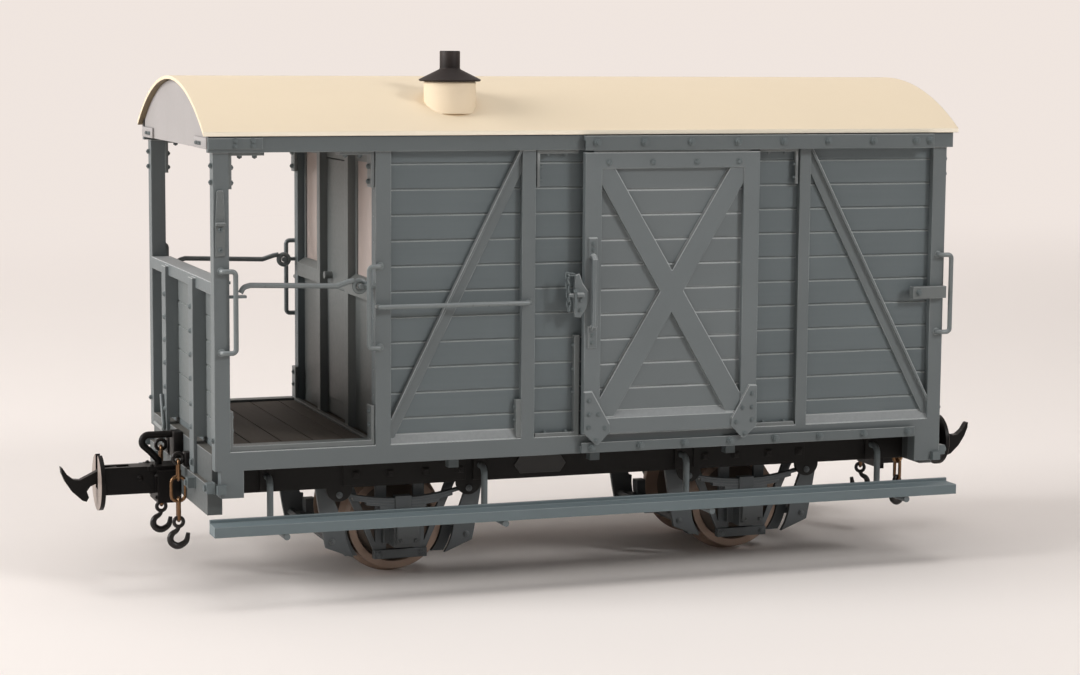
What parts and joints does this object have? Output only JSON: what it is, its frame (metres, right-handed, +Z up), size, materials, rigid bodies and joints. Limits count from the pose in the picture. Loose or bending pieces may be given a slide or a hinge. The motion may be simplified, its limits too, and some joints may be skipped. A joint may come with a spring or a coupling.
{
  "type": "four-wheel goods brake van model",
  "caption": "Large-scale model of a narrow-gauge brake van: planked body, open veranda, arched roof, chimney, sliding doors, footboards and hook couplings.",
  "frame": {"origin": "middle of the van's length and width, at the lowest point of the wheel flanges", "axes": "+X along the van from the open veranda end to the closed end, +Y across it, +Z up"},
  "size_m": [0.2946, 0.111, 0.153],
  "materials": {
    "frame_grey": "matt slate grey paint",
    "plank_grey": "matt slate grey paint over planking",
    "step_grey": "worn blue-grey paint",
    "floor_wood": "bare weathered planks",
    "roof_cream": "matt cream paint",
    "cowl_black": "sooty matt black",
    "underframe_black": "matt black paint",
    "running_gear_grey": "dark grey paint with dust",
    "wheel_iron": "rust-brown tyre, dark web",
    "chain_brass": "tarnished brass and blackened steel",
    "window_glass": "clear",
    "plate_grey": "blank cast plate"
  },
  "bodies": {
    "van": {"axle_guards_far": "running_gear_grey", "axle_guards_near": "running_gear_grey", "axleboxes_far": "running_gear_grey", "axleboxes_near": "running_gear_grey", "brake_gear_left": "running_gear_grey", "brake_gear_right": "running_gear_grey", "bulkhead": "plank_grey", "bulkhead_windows": "window_glass", "cantrail_far": "frame_grey", "cantrail_near": "frame_grey", "chimney_base": "roof_cream", "chimney_cap": "cowl_black", "corner_brackets": "frame_grey", "coupling_bail_left": "underframe_black", "coupling_bail_right": "underframe_black", "coupling_left": "underframe_black", "coupling_right": "underframe_black", "door_stops": "frame_grey", "door_tracks_far": "frame_grey", "door_tracks_near": "frame_grey", "end_beam": "frame_grey", "end_wall": "plank_grey", "floor_bearers": "floor_wood", "floor_planks": "floor_wood", "footboard_far": "step_grey", "footboard_hangers_far": "frame_grey", "footboard_hangers_near": "frame_grey", "footboard_near": "step_grey", "gate_eyes_far": "frame_grey", "gate_eyes_near": "frame_grey", "handrails_far": "frame_grey", "handrails_near": "frame_grey", "headstock_left": "underframe_black", "headstock_right": "underframe_black", "lamp_irons": "frame_grey", "lunette_left": "roof_cream", "lunette_right": "roof_cream", "roof": "roof_cream", "safety_chains_left": "chain_brass", "safety_chains_right": "chain_brass", "side_frame_far": "frame_grey", "side_frame_near": "frame_grey", "side_planks_far": "plank_grey", "side_planks_near": "plank_grey", "solebar_far": "underframe_black", "solebar_near": "underframe_black", "solebar_plates": "plate_grey", "springs_far": "running_gear_grey", "springs_near": "running_gear_grey", "veranda_planks": "plank_grey", "veranda_rail": "frame_grey"},
    "wheelset_left": {"wheelset_left": "wheel_iron"},
    "wheelset_right": {"wheelset_right": "wheel_iron"},
    "door_near": {"door_near": "frame_grey"},
    "door_far": {"door_far": "frame_grey"},
    "bulkhead_door": {"bulkhead_door": "plank_grey"},
    "gate_bar_near": {"gate_bar_near": "frame_grey"},
    "gate_bar_far": {"gate_bar_far": "frame_grey"},
    "coupling_hook_left": {"coupling_hook_left": "underframe_black"},
    "coupling_hook_right": {"coupling_hook_right": "underframe_black"}
  },
  "joints": [
    {"name": "wheelset_left_roll", "type": "hinge", "parent": "van", "child": "wheelset_left", "pos_m": [-0.053, 0, 0.0158], "axis": [0, 1, 0], "continuous": true},
    {"name": "wheelset_right_roll", "type": "hinge", "parent": "van", "child": "wheelset_right", "pos_m": [0.0558, 0, 0.0158], "axis": [0, 1, 0], "continuous": true},
    {"name": "door_near_slide", "type": "slide", "parent": "van", "child": "door_near", "axis": [1, 0, 0], "range_m": [0, 0.05]},
    {"name": "door_far_slide", "type": "slide", "parent": "van", "child": "door_far", "axis": [1, 0, 0], "range_m": [0, 0.05]},
    {"name": "bulkhead_door_swing", "type": "hinge", "parent": "van", "child": "bulkhead_door", "pos_m": [-0.0619, -0.0137, 0.08], "axis": [0, 0, 1], "range_deg": [-95, 0]},
    {"name": "gate_bar_near_lift", "type": "hinge", "parent": "van", "child": "gate_bar_near", "pos_m": [-0.0703, -0.044, 0.0878], "axis": [0, 1, 0], "range_deg": [0, 85]},
    {"name": "gate_bar_far_lift", "type": "hinge", "parent": "van", "child": "gate_bar_far", "pos_m": [-0.0703, 0.044, 0.0878], "axis": [0, 1, 0], "range_deg": [0, 85]},
    {"name": "coupling_hook_left_lift", "type": "hinge", "parent": "van", "child": "coupling_hook_left", "pos_m": [-0.131, 0, 0.0306], "axis": [0, 1, 0], "range_deg": [0, 45]},
    {"name": "coupling_hook_right_lift", "type": "hinge", "parent": "van", "child": "coupling_hook_right", "pos_m": [0.131, 0, 0.0306], "axis": [0, 1, 0], "range_deg": [-45, 0]}
  ]
}
